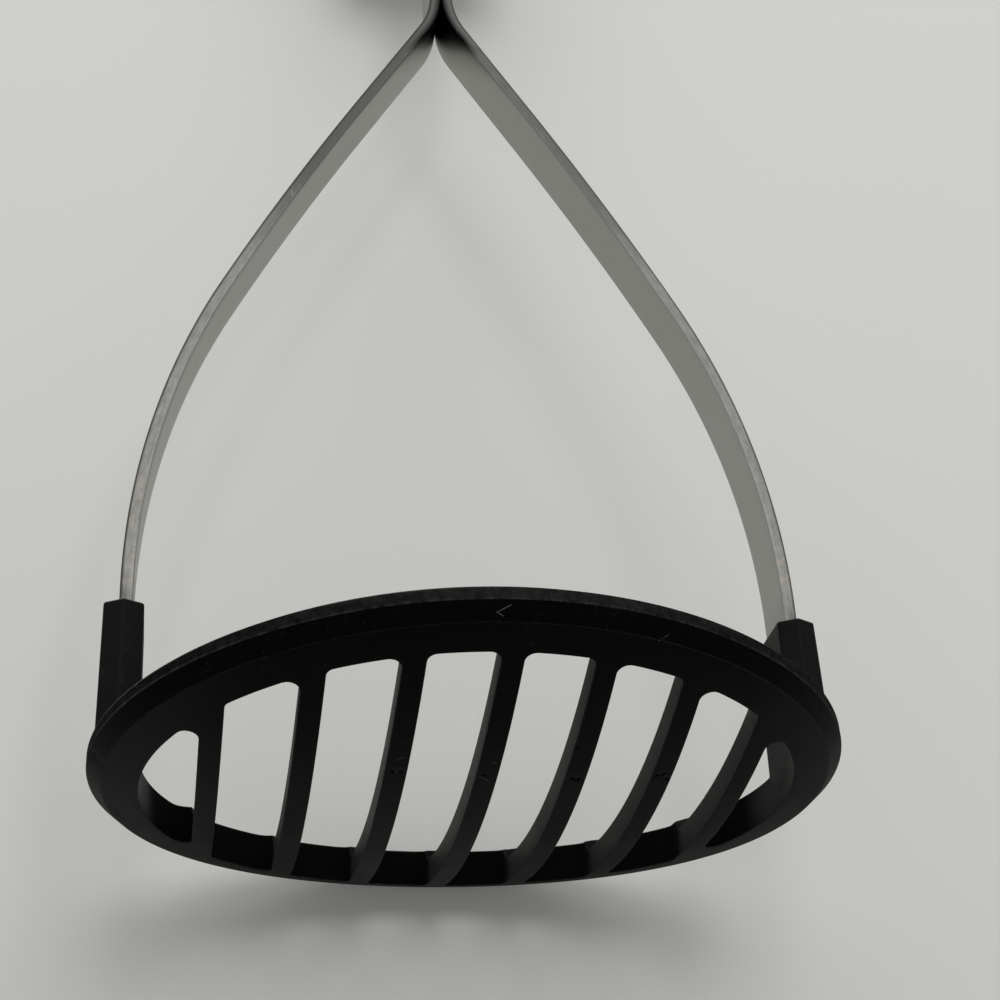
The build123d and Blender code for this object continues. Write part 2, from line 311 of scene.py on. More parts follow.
# Small dents and nicks in the face: place, reach and depth
NICKS = [
    (-53.6, 6.4, 1.1, 0.4),
    (-13.0, 14.6, 0.55, 0.2),
    (-11.8, 14.7, 0.4, 0.14),
    (-0.4, 14.6, 0.5, 0.16),
    (12.1, 13.4, 0.5, 0.3),
    (12.9, 13.2, 0.5, 0.3),
    (11.3, 21.1, 0.5, 0.2),
    (24.2, 13.1, 0.45, 0.26),
    (25.1, 13.3, 0.45, 0.26),
    (26.0, 12.0, 0.5, 0.24),
    (33.9, 7.2, 0.4, 0.2),
]

# Scratches that stand out on the face: both ends, width and paleness
SCRATCHES = [
    ((-1.3, 45.5), (-3.0, 44.8), 0.09, 0.7),
    ((-3.0, 44.8), (-2.2, 44.5), 0.08, 0.6),
    ((18.5, 41.0), (19.8, 41.4), 0.08, 0.5),
    ((-12.8, 17.0), (-11.7, 18.1), 0.07, 0.5),
    ((-13.0, 15.0), (-12.4, 14.2), 0.11, 0.4),
    ((-12.0, 15.2), (-11.4, 14.6), 0.11, 0.4),
    ((-1.4, 14.1), (-0.3, 13.6), 0.06, 0.5),
    ((-0.3, 13.6), (0.7, 12.4), 0.06, 0.5),
    ((0.2, 17.7), (0.9, 17.2), 0.1, 0.4),
    ((24.0, 13.4), (25.2, 13.5), 0.07, 0.3),
    ((25.2, 13.5), (26.2, 11.8), 0.07, 0.3),
]


def dent(u, v):
    depth = 0.0
    for place_u, place_v, reach, deepest in NICKS:
        away = math.hypot(u - place_u, v - place_v) / reach
        if away < 1:
            depth += deepest * (1 - away * away) ** 2
    return depth


def slot_end(u, v):
    """How near the lower end of its slot a place on a slot's wall is, from 0 to 1."""
    innermost = (SLOT_COUNT / 2 - 1) * PITCH + BAR_WIDTH / 2
    lowest = -SLOTTED[1] * math.sqrt(1 - (min(abs(u), innermost) / SLOTTED[0]) ** 2)
    return min(max((SLOT_END_SHADE[1] - (v - lowest)) / (SLOT_END_SHADE[1] - SLOT_END_SHADE[0]), 0.0), 1.0)


def make_mash_head():
    """The moulding, with three marks kept beside each point.

    The first is how near an edge it is. The second is the wall that it is on: -1 is the
    face's bevel, 0 the face or the back, 1 a slot, 2 the rim and 3 a socket. The third is
    how near the lower end of its slot it is.
    """
    points = []
    faces = []
    wear = []
    front_loops = []
    back_loops = []

    def add_ring(loop, depth, marks, in_slot):
        start = len(points)
        for u, v in loop:
            sink = dent(u, v) if depth < DEPTH_LIMITS[0] else 0.0
            deep = depth if depth < DEPTH_LIMITS[1] else depth - RIM + back_depth(u, v)
            points.append(from_head(u, v, face_depth(u, v) + deep + sink))
            wear.append(marks + (slot_end(u, v) if in_slot else 0.0,))
        return start

    def add_wall(section, section_marks, outline, in_slot):
        """Rings of points down a wall, from the face to the back, and the faces between."""
        rings = []
        for (across, depth), marks in zip(section, section_marks):
            loop = outline(across)
            rings.append((add_ring(loop, depth, marks, in_slot), loop))
        for (first, loop), (second, _) in zip(rings, rings[1:]):
            faces.extend(ring_faces(first, second, len(loop), not in_slot))
        front_loops.append(rings[0])
        back_loops.append(rings[-1])

    # the first and last points of each section only lead its rounding in and out
    slot_section = rounded_path(
        [(1.0, 0.0), (0.0, 0.0), (SLOT_DRAFT, RIM), (1.2, RIM)], SLOT_EDGES, 4)[1:-1]
    slot_marks = [
        (0.0, 0.0), (0.6, 0.0), (1.0, 0.0), (0.6, 0.5), (0.0, 1.0),
        (0.0, 1.0), (0.3, 1.0), (0.6, 0.6), (0.3, 0.0), (0.0, 0.0),
    ]
    rim_section = rounded_path(
        [(4.0, 0.0), (FACE_BEVEL[0], 0.0), (0.0, FACE_BEVEL[1]), (0.0, RIM - BACK_BEVEL),
         (BACK_BEVEL, RIM), (4.0, RIM)], RIM_EDGES, 4)[1:-1]
    rim_marks = [
        (0.0, 0.0), (0.2, -0.2), (0.35, -0.5), (0.2, -0.8), (0.0, -1.0),
        (0.0, -1.0), (0.7, -0.4), (1.0, 0.6), (0.8, 1.6), (0.3, 2.0),
        (0.3, 2.0), (0.9, 1.9), (0.9, 1.7), (0.3, 0.6), (0.0, 0.0),
    ] + [(0.0, 0.0)] * 5
    for index in range(SLOT_COUNT):
        add_wall(slot_section, slot_marks, lambda grow: slot_loop(index, grow), True)
    add_wall(rim_section, rim_marks, outline_loop, False)
    for loops, end, back in ((front_loops, 0, False), (back_loops, -1, True)):
        fill_sheet(points, faces, loops, slot_section[end][0], rim_section[end][0], back)
    wear += [(0.0, 0.0, 0.0)] * (len(points) - len(wear))
    for side in (-1, 1):
        add_socket(points, faces, wear, side)
    piece = new_piece("mash_head_moulding", points, faces, HEAD_SHARP_ANGLE)
    for name, column in (("edge", 0), ("wall", 1), ("end", 2)):
        layer = piece.data.attributes.new(name, "FLOAT", "POINT")
        layer.data.foreach_set("value", [marks[column] for marks in wear])
    return piece


def inside_loop(u, v, loop):
    """Whether a place lies inside a closed outline."""
    inside = False
    before = loop[-1]
    for point in loop:
        if (point[1] > v) != (before[1] > v):
            crossing = point[0] + (before[0] - point[0]) * (v - point[1]) / (before[1] - point[1])
            if u < crossing:
                inside = not inside
        before = point
    return inside


def inside_slot(u, v, loops, grow):
    """Whether a place lies inside one of the slots' outlines, made larger all round."""
    for index in range(SLOT_COUNT):
        left, right = slot_span(index)
        near = left - grow < u < right + grow and abs(v) < SLOTTED[1] + grow
        if near and inside_loop(u, v, loops[index]):
            return True
    return False


def fill_sheet(points, faces, loops, grow, inset, back):
    """The face or the back between the edges of the slots and the rim."""
    flat = []
    owners = []
    edges = []

    def beyond(u, v, margin):
        return (u / (OUTLINE[0] - margin)) ** 2 + (v / (OUTLINE[1] - margin)) ** 2 > 1

    for start, loop in loops:
        base = len(flat)
        for index, (u, v) in enumerate(loop):
            flat.append(Vector((u, v)))
            owners.append(start + index)
            edges.append((base + index, base + (index + 1) % len(loop)))
    # rings of points in each dent, and an even grid over the rest
    if not back:
        for place_u, place_v, reach, _ in NICKS[1:]:
            for ring in range(1, 5):
                for turn in range(10):
                    angle = math.pi * (2 * turn + ring) / 10
                    away = reach * ring / 4
                    flat.append(Vector((
                        place_u + away * math.cos(angle), place_v + away * math.sin(angle))))
    slots = [loop for _, loop in loops[:SLOT_COUNT]]
    clear = grow + SHEET_CLEAR[0]
    clear_slots = [slot_loop(index, clear) for index in range(SLOT_COUNT)]
    columns, rows = (int(half / SHEET_STEP) + 1 for half in OUTLINE)
    for row in range(-rows, rows + 1):
        for column in range(-columns, columns + 1):
            u = (column + 0.5 * (row % 2)) * SHEET_STEP
            v = row * SHEET_STEP
            if beyond(u, v, inset + SHEET_CLEAR[1]) or inside_slot(u, v, clear_slots, clear):
                continue
            if back or dent(u, v) <= 0:
                flat.append(Vector((u, v)))
    owners += [None] * (len(flat) - len(owners))
    verts, _, triangles, origin, _, _ = delaunay_2d_cdt(flat, edges, [], 1, 1e-5)
    numbers = []
    for place, sources in zip(verts, origin):
        owner = next((owners[s] for s in sources if owners[s] is not None), None)
        if owner is None:
            sink = 0.0 if back else dent(place.x, place.y)
            owner = len(points)
            deep = back_depth(place.x, place.y) if back else sink
            points.append(from_head(place.x, place.y, face_depth(place.x, place.y) + deep))
        numbers.append(owner)
    for triangle in triangles:
        middle = sum((verts[i] for i in triangle), Vector((0, 0))) / 3
        if inside_slot(middle.x, middle.y, slots, grow):
            continue
        if beyond(middle.x, middle.y, inset - 0.01):
            continue
        ids = [numbers[i] for i in triangle]
        if len(set(ids)) == 3:
            faces.append(tuple(reversed(ids)) if back else tuple(ids))


def even_loop(corners, radius, count):
    """A convex outline with rounded corners, as evenly spaced points."""
    closed = corners + [corners[0], corners[1]]
    path = rounded_path(closed, [radius] * len(corners), 6)[1:-1]
    path.append(path[0])
    lengths = [0.0]
    for a, b in zip(path, path[1:]):
        lengths.append(lengths[-1] + math.dist(a, b))
    loop = []
    segment = 0
    for index in range(count):
        target = lengths[-1] * index / count
        while lengths[segment + 1] < target:
            segment += 1
        share = (target - lengths[segment]) / max(lengths[segment + 1] - lengths[segment], 1e-9)
        loop.append(between(path[segment], path[segment + 1], share))
    return loop


def add_socket(points, faces, wear, side):
    """Socket for a strip: a long hexagon with a softly broken top and a slot in it."""
    count = SOCKET_SIDES
    centre = side * (HALF_SPAN + SOCKET_OUTSET)
    root = DOME_LONG - math.sqrt(DOME_LONG**2 - HALF_SPAN**2) + PLATE / 2

    def hexagon(z, inset):
        grow = (TOWER_TOP - z) * SOCKET_DRAFT - inset
        half, deep = SOCKET_HALF[0] + grow, SOCKET_HALF[1] + grow
        corners = [
            (half, -deep), (half, deep), (0.0, deep + SOCKET_RIDGE),
            (-half, deep), (-half, -deep), (0.0, -deep - SOCKET_RIDGE),
        ]
        return even_loop(corners, max(SOCKET_CORNER[0] - inset, SOCKET_CORNER[1]), count)

    def back_height(x, y):
        u = centre + x
        v = -y
        return back_surface(u, v) / math.cos(HEAD_RAKE) + v * math.tan(HEAD_RAKE)

    rings = []

    def level(loop, heights, edge):
        start = len(points)
        for (x, y), z in zip(loop, heights):
            points.append(from_tool(centre + x, y, z))
            wear.append((edge, 3.0, 0.0))
        rings.append(start)

    level(hexagon(root, 0.0), [root] * count, 0.0)
    loop = hexagon(root + 1.0, -SOCKET_FLARE)
    level(loop, [back_height(x, y) - 0.3 for x, y in loop], 0.0)
    for share in (0.3, 0.6, 1.0):
        angle = share * math.pi / 2
        loop = hexagon(root + 2.0, -SOCKET_FLARE * (1 - math.sin(angle)))
        lift = SOCKET_FLARE * (1 - math.cos(angle))
        level(loop, [back_height(x, y) + lift for x, y in loop], 0.0)
    for z in SOCKET_LEVELS:
        level(hexagon(z, 0.0), [z] * count, 0.0)
    for share in (0.33, 0.66, 1.0):
        angle = share * math.pi / 2
        loop = hexagon(TOWER_TOP, SOCKET_TOP_EDGE * (1 - math.cos(angle)))
        level(loop, [TOWER_TOP - SOCKET_TOP_EDGE * (1 - math.sin(angle))] * count, 0.7)
    half, deep = STRIP_THICK / 2 + MOUTH[0], STRIP_WIDE / 2 + MOUTH[0]
    corners = [(half, -deep), (half, deep), (-half, deep), (-half, -deep)]
    mouth = [(x - side * SOCKET_OUTSET, y) for x, y in even_loop(corners, MOUTH[1], count)]
    shift = nearest_start(mouth, hexagon(TOWER_TOP, SOCKET_TOP_EDGE)[0])
    mouth = mouth[shift:] + mouth[:shift]
    level(mouth, [TOWER_TOP] * count, 0.0)
    level(mouth, [TOWER_TOP - MOUTH[2]] * count, 0.0)
    for first, second in zip(rings, rings[1:]):
        faces.extend(ring_faces(first, second, count))
    faces.append(tuple(rings[0] + index for index in reversed(range(count))))
    faces.append(tuple(rings[-1] + index for index in range(count)))


def nearest_start(loop, place):
    return min(range(len(loop)), key=lambda i: math.dist(loop[i], place))


def strip_line(step=1.5):
    """Middle line of the right-hand strip as (x, z), foot to tang."""
    line = []

    def run(start, end):
        count = max(1, round(math.dist(start, end) / step))
        line.extend(between(start, end, index / count) for index in range(count))

    def on_circle(centre, radius, angle):
        return (centre[0] + radius * math.cos(angle), centre[1] + radius * math.sin(angle))

    def turn(centre, radius, start, end, count=None):
        count = count or max(3, round(radius * abs(end - start) / step))
        line.extend(
            on_circle(centre, radius, start + (end - start) * index / count)
            for index in range(count))

    run((HALF_SPAN, TOWER_TOP - POCKET_DEPTH), (HALF_SPAN, UPRIGHT))
    shoulder = (HALF_SPAN - SHOULDER_RADIUS, UPRIGHT)
    turn(shoulder, SHOULDER_RADIUS, 0.0, SHOULDER_ANGLE)
    flank = on_circle(shoulder, SHOULDER_RADIUS - FLANK_RADIUS, SHOULDER_ANGLE)
    turn(flank, FLANK_RADIUS, SHOULDER_ANGLE, LEAN_ANGLE)
    neck = (STRIP_THICK / 2 + NECK_RADIUS, NECK_Z)
    run(on_circle(flank, FLANK_RADIUS, LEAN_ANGLE), on_circle(neck, -NECK_RADIUS, LEAN_ANGLE))
    turn(neck, -NECK_RADIUS, LEAN_ANGLE, 0.0, NECK_STEPS)
    tang_end = (STRIP_THICK / 2, HANDLE_FRONT + TANG_LENGTH)
    run((STRIP_THICK / 2, NECK_Z), tang_end)
    return line + [tang_end]


def run_to(height):
    """Length of the strip's line from its foot to a height of the tool."""
    line = strip_line()
    length = 0.0
    for here, following in zip(line, line[1:]):
        if following[1] > height:
            break
        length += math.dist(here, following)
    return length


def add(tree, kind, inputs=(), **settings):
    """Put a node in a tree, set it up and give its inputs values or links."""
    node = tree.nodes.new(kind)
    for name, value in settings.items():
        setattr(node, name, value)
    for socket, value in dict(inputs).items():
        if isinstance(value, bpy.types.NodeSocket):
            tree.links.new(value, node.inputs[socket])
        else:
            node.inputs[socket].default_value = value
    return node


def new_tree(kind, name, inputs, outputs):
    """Empty node tree with named sockets, what it is given and what it makes."""
    tree = bpy.data.node_groups.new(name, kind)
    for label, socket_kind, value in inputs:
        socket = tree.interface.new_socket(name=label, in_out="INPUT", socket_type=socket_kind)
        if value is not None:
            socket.default_value = value
    for label, socket_kind in outputs:
        tree.interface.new_socket(name=label, in_out="OUTPUT", socket_type=socket_kind)
    given = tree.nodes.new("NodeGroupInput").outputs
    return tree, given, tree.nodes.new("NodeGroupOutput").inputs


def bar_tree():
    """Flat bar with broken edges that follows a line. The line lies level, the bar on edge."""
    tree, given, made = new_tree("GeometryNodeTree", "flat_bar_along_line", [
        ("Line", "NodeSocketGeometry", None),
        ("Thickness", "NodeSocketFloat", STRIP_THICK),
        ("Width", "NodeSocketFloat", STRIP_WIDE),
        ("Edge Radius", "NodeSocketFloat", STRIP_EDGE),
        ("Steel", "NodeSocketMaterial", None),
    ], [("Bar", "NodeSocketGeometry")])

    def keep(geometry, name, value, kind):
        """Keep a value beside each point under a name."""
        return add(tree, "GeometryNodeStoreNamedAttribute", {
            "Geometry": geometry, "Name": name, "Value": value,
        }, data_type=kind, domain="POINT").outputs["Geometry"]

    place = add(tree, "GeometryNodeSplineParameter")
    line = add(tree, "GeometryNodeSetCurveNormal", {"Curve": given["Line"]}, mode="Z_UP")
    line = keep(line.outputs[0], "run", place.outputs["Length"], "FLOAT")
    broken = add(tree, "GeometryNodeCurvePrimitiveQuadrilateral", {
        "Width": given["Thickness"], "Height": given["Width"]})
    broken = add(tree, "GeometryNodeFilletCurve", {
        "Curve": broken.outputs["Curve"], "Count": 4, "Radius": given["Edge Radius"]}, mode="POLY")
    broken = add(tree, "GeometryNodeSubdivideCurve", {"Curve": broken.outputs["Curve"], "Cuts": 3})
    across = add(tree, "GeometryNodeInputPosition")
    broken = keep(
        broken.outputs["Curve"], "across", across.outputs["Position"], "FLOAT_VECTOR")
    bar = add(tree, "GeometryNodeCurveToMesh", {
        "Curve": line, "Profile Curve": broken, "Fill Caps": True})
    whole = add(tree, "GeometryNodeRealizeInstances", {"Geometry": bar.outputs["Mesh"]})
    clad = add(tree, "GeometryNodeSetMaterial", {
        "Geometry": whole.outputs["Geometry"], "Material": given["Steel"]})
    tree.links.new(clad.outputs["Geometry"], made["Bar"])
    return tree


def tree_input(modifier, label, value):
    """Give a modifier's node tree the value of one of its named inputs."""
    for item in modifier.node_group.interface.items_tree:
        if item.item_type == "SOCKET" and item.in_out == "INPUT" and item.name == label:
            modifier[item.identifier] = value


def plain_mesh(source, name):
    """What a piece's modifiers make of it, as a mesh piece of its own."""
    bpy.context.view_layer.update()
    seen = source.evaluated_get(bpy.context.evaluated_depsgraph_get())
    mesh = bpy.data.meshes.new_from_object(seen)
    mesh.name = name
    piece = into_scene(name, mesh)
    bpy.data.objects.remove(source)
    return piece


def make_strip(side, name, tree, material):
    """One strip: the line of its bends, dressed as a flat bar and laid down."""
    curve = bpy.data.curves.new(name + "_line", "CURVE")
    curve.dimensions = "3D"
    line = strip_line()
    spline = curve.splines.new("POLY")
    spline.points.add(len(line) - 1)
    for point, (x, z) in zip(spline.points, line):
        point.co = (side * x, z, 0.0, 1.0)
    source = into_scene(name + "_line", curve)
    modifier = source.modifiers.new("flat_bar", "NODES")
    modifier.node_group = tree
    tree_input(modifier, "Steel", material)
    piece = plain_mesh(source, name)
    for vertex in piece.data.vertices:
        x, z, y = vertex.co
        vertex.co = from_tool(x, -y, z)
    face_outward(piece.data, 1e-7)
    return piece


# Handle

def toward(start, target, distance):
    """The place a distance away from one place in the direction of another."""
    return between(start, target, distance / math.dist(start, target))


def handle_side(skin, low, high, step):
    """The handle's side between two places, with some skin taken off: (half thickness, place)."""
    swell = (SWELL[0] - SWELL[2], SWELL[1])
    run, drop = SWELL[1] - WAIST[1], WAIST[0] - swell[0]
    waist_radius = (run**2 + drop**2 - SWELL[2] ** 2) / (2 * (SWELL[0] - WAIST[0]))
    waist = (WAIST[0] + waist_radius, WAIST[1])
    meet = toward(swell, waist, SWELL[2])[1]
    count = max(2, round((high - low) / step))
    side = []
    for index in range(count + 1):
        place = low + (high - low) * index / count
        if place < meet:
            half = waist[0] - math.sqrt((waist_radius + skin) ** 2 - (place - waist[1]) ** 2)
        else:
            half = swell[0] + math.sqrt((SWELL[2] - skin) ** 2 - (place - swell[1]) ** 2)
        side.append((half, place))
    return side


def turned(name, outline, material):
    """Closed oval ring with this outline of (half thickness, place) pairs."""
    points = []
    faces = []
    count = TURNED_SIDES
    for half, place in outline:
        for index in range(count):
            angle = 2 * math.pi * index / count
            points.append(from_tool(
                half * OVAL * math.cos(angle), half * math.sin(angle), HANDLE_FRONT + place))
    rows = len(outline)
    for row in range(rows):
        faces += ring_faces(row * count, (row + 1) % rows * count, count)
    piece = new_piece(name, points, faces)
    face_outward(piece.data)
    piece.data.materials.append(material)
    return piece


def make_sleeve(material):
    """Soft sleeve with its finger grooves and softly rounded ends."""
    low = COLLAR_LENGTH + SLEEVE_GAPS[0]
    high = COLLAR_LENGTH + GRIP[0] - SLEEVE_GAPS[0]
    reach = GROOVE_SHAPE[0] * GROOVE_SPREAD
    outside = []
    shade = []
    for half, place in handle_side(0.0, low, high, SLEEVE_STEPS[0]):
        sunk = 0.0
        for index in range(GROOVES[0]):
            away = place - (GROOVES[1] + index * GROOVES[2])
            if abs(away) < reach:
                sunk = (1 - (away / reach) ** 2) ** 2
        half -= GROOVE_SHAPE[1] * sunk
        shade.append(sunk)
        end = min(place - low, high - place)
        if end < SLEEVE_EDGE:
            half -= SLEEVE_EDGE - math.sqrt(SLEEVE_EDGE**2 - (SLEEVE_EDGE - end) ** 2)
        outside.append((half, place))
    inside = handle_side(GRIP[1] + SLEEVE_GAPS[1], low, high, SLEEVE_STEPS[1])
    shade += [0.0] * len(inside)
    piece = turned("grip_sleeve", outside + list(reversed(inside)), material)
    layer = piece.data.attributes.new("groove", "FLOAT", "POINT")
    layer.data.foreach_set("value", [value for value in shade for _ in range(TURNED_SIDES)])
    return piece


# Materials

# How each set of scratches is turned, how far it is drawn out, and where it is kept
SCRATCH_WAYS = (
    ((0.3, 0.2, 0.5), 0.12, 3.0),
    ((0.1, 0.4, 1.9), 0.09, 17.0),
    ((0.5, 0.1, 2.7), 0.15, 29.0),
)


def effect(name, inputs, outputs):
    """Shader group with float inputs, and a vector input named Place."""
    kinds = [("Place", "NodeSocketVector", None)]
    kinds += [(label, "NodeSocketFloat", value) for label, value in inputs]
    results = [(label, "NodeSocketFloat") for label in outputs]
    return new_tree("ShaderNodeTree", name, kinds, results)


def sums(tree, operation, *values):
    """Result of a sum with values, given in the order of the node's sockets."""
    inputs = dict(enumerate(values))
    return add(tree, "ShaderNodeMath", inputs, operation=operation).outputs[0]


def times(tree, first, *others):
    """Product of masks or values."""
    for value in others:
        first = sums(tree, "MULTIPLY", first, value)
    return first


def one_over(tree, value):
    return sums(tree, "DIVIDE", 1.0, value)


def vectors(tree, operation, *values, output="Vector", **named):
    """Result of a sum with vectors, given in the order of the node's sockets or by name."""
    inputs = {**dict(enumerate(values)), **named}
    return add(tree, "ShaderNodeVectorMath", inputs, operation=operation).outputs[output]


def joined(tree, x, y, z):
    """A vector of three values."""
    return add(tree, "ShaderNodeCombineXYZ", {"X": x, "Y": y, "Z": z}).outputs["Vector"]


def split(tree, vector):
    """The X, Y and Z of a vector."""
    return add(tree, "ShaderNodeSeparateXYZ", {"Vector": vector}).outputs


def ranged(tree, value, low, high, start=0.0, end=1.0, soft=False):
    node = add(tree, "ShaderNodeMapRange", {
        "Value": value, "From Min": low, "From Max": high, "To Min": start, "To Max": end,
    }, interpolation_type="SMOOTHSTEP" if soft else "LINEAR")
    return node.outputs["Result"]


def mixed(tree, share, start, end):
    """A value that goes from one to another with the share."""
    return ranged(tree, share, 0.0, 1.0, start, end)


def noise(tree, place, scale, detail=3.0, roughness=0.55):
    node = add(tree, "ShaderNodeTexNoise", {
        "Vector": place, "Scale": scale, "Detail": detail, "Roughness": roughness})
    return node.outputs["Fac"]


def stretched(tree, place, scale, turn=(0.0, 0.0, 0.0)):
    node = add(tree, "ShaderNodeMapping", {"Vector": place, "Rotation": turn, "Scale": scale})
    return node.outputs["Vector"]


def uneven_tone_group():
    """Broad soft patches with finer mottling in them."""
    tree, given, made = effect("uneven_tone", [("Patch Size", 20.0), ("Mottle", 0.4)], ["Tone"])
    place, size = given["Place"], given["Patch Size"]
    broad = noise(tree, place, one_over(tree, size), 2.0)
    fine = noise(tree, place, sums(tree, "DIVIDE", 9.0, size), 4.0)
    broad = ranged(tree, broad, 0.32, 0.68, soft=True)
    fine = times(tree, sums(tree, "SUBTRACT", fine, 0.5), given["Mottle"])
    tree.links.new(sums(tree, "ADD", broad, fine), made["Tone"])
    return tree


def moulded_grain_group():
    """Fine grain that a mould leaves, and sparse little pits."""
    tree, given, made = effect(
        "moulded_grain", [("Grain Size", 0.5), ("Pit Spacing", 2.5)], ["Height"])
    grain = noise(tree, given["Place"], one_over(tree, given["Grain Size"]), 3.0, 0.65)
    cells = add(tree, "ShaderNodeTexVoronoi", {
        "Vector": given["Place"],
        "Scale": one_over(tree, given["Pit Spacing"]), "Randomness": 1.0})
    chosen = sums(tree, "GREATER_THAN", add(tree, "ShaderNodeSeparateColor", {
        "Color": cells.outputs["Color"]}).outputs["Red"], 0.55)
    pit = times(tree, ranged(tree, cells.outputs["Distance"], 0.05, 0.11, 1.0, 0.0), chosen)
    tree.links.new(sums(tree, "SUBTRACT", grain, pit), made["Height"])
    return tree


def fine_scratches_group():
    """Thin broken scratches in three directions, each a stretch of a noise's contour."""
    tree, given, made = effect("fine_scratches", [("Spacing", 4.0), ("Width", 0.01)], ["Scratches"])
    scale = one_over(tree, given["Spacing"])
    together = None
    for turn, thin, seed in SCRATCH_WAYS:
        place = stretched(tree, given["Place"], (1.0, thin, 1.0), turn)
        level = noise(tree, place, scale, 1.0)
        away = sums(tree, "ABSOLUTE", sums(tree, "SUBTRACT", level, 0.5))
        line = ranged(tree, away, 0.0, given["Width"], 1.0, 0.0)
        shifted = vectors(tree, "ADD", given["Place"], (seed, seed, seed))
        kept = ranged(tree, noise(tree, shifted, 0.3, 3.0), 0.60, 0.66)
        line = times(tree, line, kept)
        together = line if together is None else sums(tree, "MAXIMUM", together, line)
    tree.links.new(together, made["Scratches"])
    return tree


def worn_edge_group():
    """Edges worn unevenly bright: the edge's closeness broken up by noise."""
    tree, given, made = effect("worn_edge", [("Edge", 0.0), ("Breakup Size", 1.5)], ["Wear"])
    broken = noise(tree, given["Place"], one_over(tree, given["Breakup Size"]), 4.0, 0.7)
    wear = times(tree, given["Edge"], ranged(tree, broken, 0.38, 0.66))
    tree.links.new(wear, made["Wear"])
    return tree


def brushed_lines_group():
    """Fine lines drawn out along the second axis of the place."""
    tree, given, made = effect("brushed_lines", [("Fineness", 0.08), ("Length", 12.0)], ["Lines"])
    fineness = one_over(tree, given["Fineness"])
    scale = joined(tree, fineness, one_over(tree, given["Length"]), fineness)
    lines = noise(tree, vectors(tree, "MULTIPLY", given["Place"], scale), 1.0, 4.0, 0.7)
    tree.links.new(ranged(tree, lines, 0.28, 0.72), made["Lines"])
    return tree


def long_scratch_group():
    """One scratch from start to end, thin and tapering."""
    tree, given, made = new_tree("ShaderNodeTree", "long_scratch", [
        ("Place", "NodeSocketVector", None), ("Start", "NodeSocketVector", None),
        ("End", "NodeSocketVector", None), ("Width", "NodeSocketFloat", 0.1),
    ], [("Scratch", "NodeSocketFloat")])
    away = vectors(tree, "SUBTRACT", given["Place"], given["Start"])
    way = vectors(tree, "SUBTRACT", given["End"], given["Start"])
    share = sums(
        tree, "DIVIDE", vectors(tree, "DOT_PRODUCT", away, way, output="Value"),
        vectors(tree, "DOT_PRODUCT", way, way, output="Value"))
    nearest = vectors(tree, "SCALE", way, Scale=ranged(tree, share, 0.0, 1.0))
    gap = vectors(
        tree, "LENGTH", vectors(tree, "SUBTRACT", away, nearest), output="Value")
    rough = noise(tree, given["Place"], 3.0, 3.0)
    width = times(tree, given["Width"], ranged(tree, rough, 0.3, 0.7, 0.4, 1.3))
    near = sums(tree, "SUBTRACT", 1.0, sums(tree, "DIVIDE", gap, width))
    tree.links.new(ranged(tree, near, 0.0, 0.6), made["Scratch"])
    return tree


GROUPS = {
    "long scratch": long_scratch_group(),
    "tone": uneven_tone_group(),
    "grain": moulded_grain_group(),
    "scratches": fine_scratches_group(),
    "wear": worn_edge_group(),
    "brushed": brushed_lines_group(),
}


class Finish:
    """A material being made: its tree, shader, place in millimetres and colours so far."""

    def __init__(self, name, **sockets):
        self.colour = None
        self.material = bpy.data.materials.new(name)
        self.material.use_nodes = True
        self.tree = self.material.node_tree
        self.shader = self.tree.nodes["Principled BSDF"]
        for socket, value in sockets.items():
            self.shader.inputs[socket.replace("_", " ")].default_value = value
        seen = self.tree.nodes.new("ShaderNodeTexCoord")
        self.place = vectors(self.tree, "SCALE", seen.outputs["Object"], Scale=1 / MM)

    def use(self, group, place=None, **values):
        inputs = {label.replace("_", " "): value for label, value in values.items()}
        inputs["Place"] = self.place if place is None else place
        return add(self.tree, "ShaderNodeGroup", inputs, node_tree=GROUPS[group]).outputs

    def layer(self, under, over, share):
        """One colour over another by a mask."""
        inputs = {"Factor": share, "A": under, "B": over}
        mix = add(self.tree, "ShaderNodeMix", inputs, data_type="RGBA", clamp_factor=True)
        return mix.outputs["Result"]

    def coat(self, over, *masks):
        """Another colour over those so far, by the product of its masks."""
        self.colour = self.layer(self.colour, over, times(self.tree, *masks))

    def facing(self):
        return self.tree.nodes.new("ShaderNodeTexCoord").outputs["Normal"]

    def mark(self, name, output="Fac"):
        return add(self.tree, "ShaderNodeAttribute", attribute_name=name).outputs[output]

    def done(self, roughness, height=None, strength=0.0, distance=0.0):
        """The finished material, once its colours, roughness and bumps are linked."""
        looks = {"Base Color": self.colour, "Roughness": roughness}
        if height is not None:
            looks["Normal"] = add(self.tree, "ShaderNodeBump", {
                "Height": height, "Strength": strength, "Distance": distance * MM,
            }).outputs["Normal"]
        for socket, value in looks.items():
            self.tree.links.new(value, self.shader.inputs[socket])
        return self.material


def grey(value, warmth=0.0):
    return (value * (1 + warmth * 0.3), value * (1 + warmth * 0.4), value * (1 - warmth), 1.0)


# Greys of the nylon, darker and paler where it is patchy, and greys that paint light, shade and
# highlights on it
FACE_GREYS = (0.0003, 0.0012)
BEVEL_GREY = 0.0002
SLOT_GREYS = (0.0006, 0.0018)
# Painted light: the rim's outer wall, patchy like the rest, is paler than the face
RIM_GREYS = (0.0018, 0.0045)
# Painted shade on the rim's outer wall towards its left and right
RIM_SIDES_SHADE_GREY = 0.0008
# Painted light: the face paler towards its left and right
FACE_SIDES_LIT_GREY = 0.008
SOCKET_GREYS = (0.004, 0.007)
# Painted light: paler slot and socket walls that face sideways
SIDE_WALL_LIT_GREY = 0.021
SPECKLE_GREY = 0.02
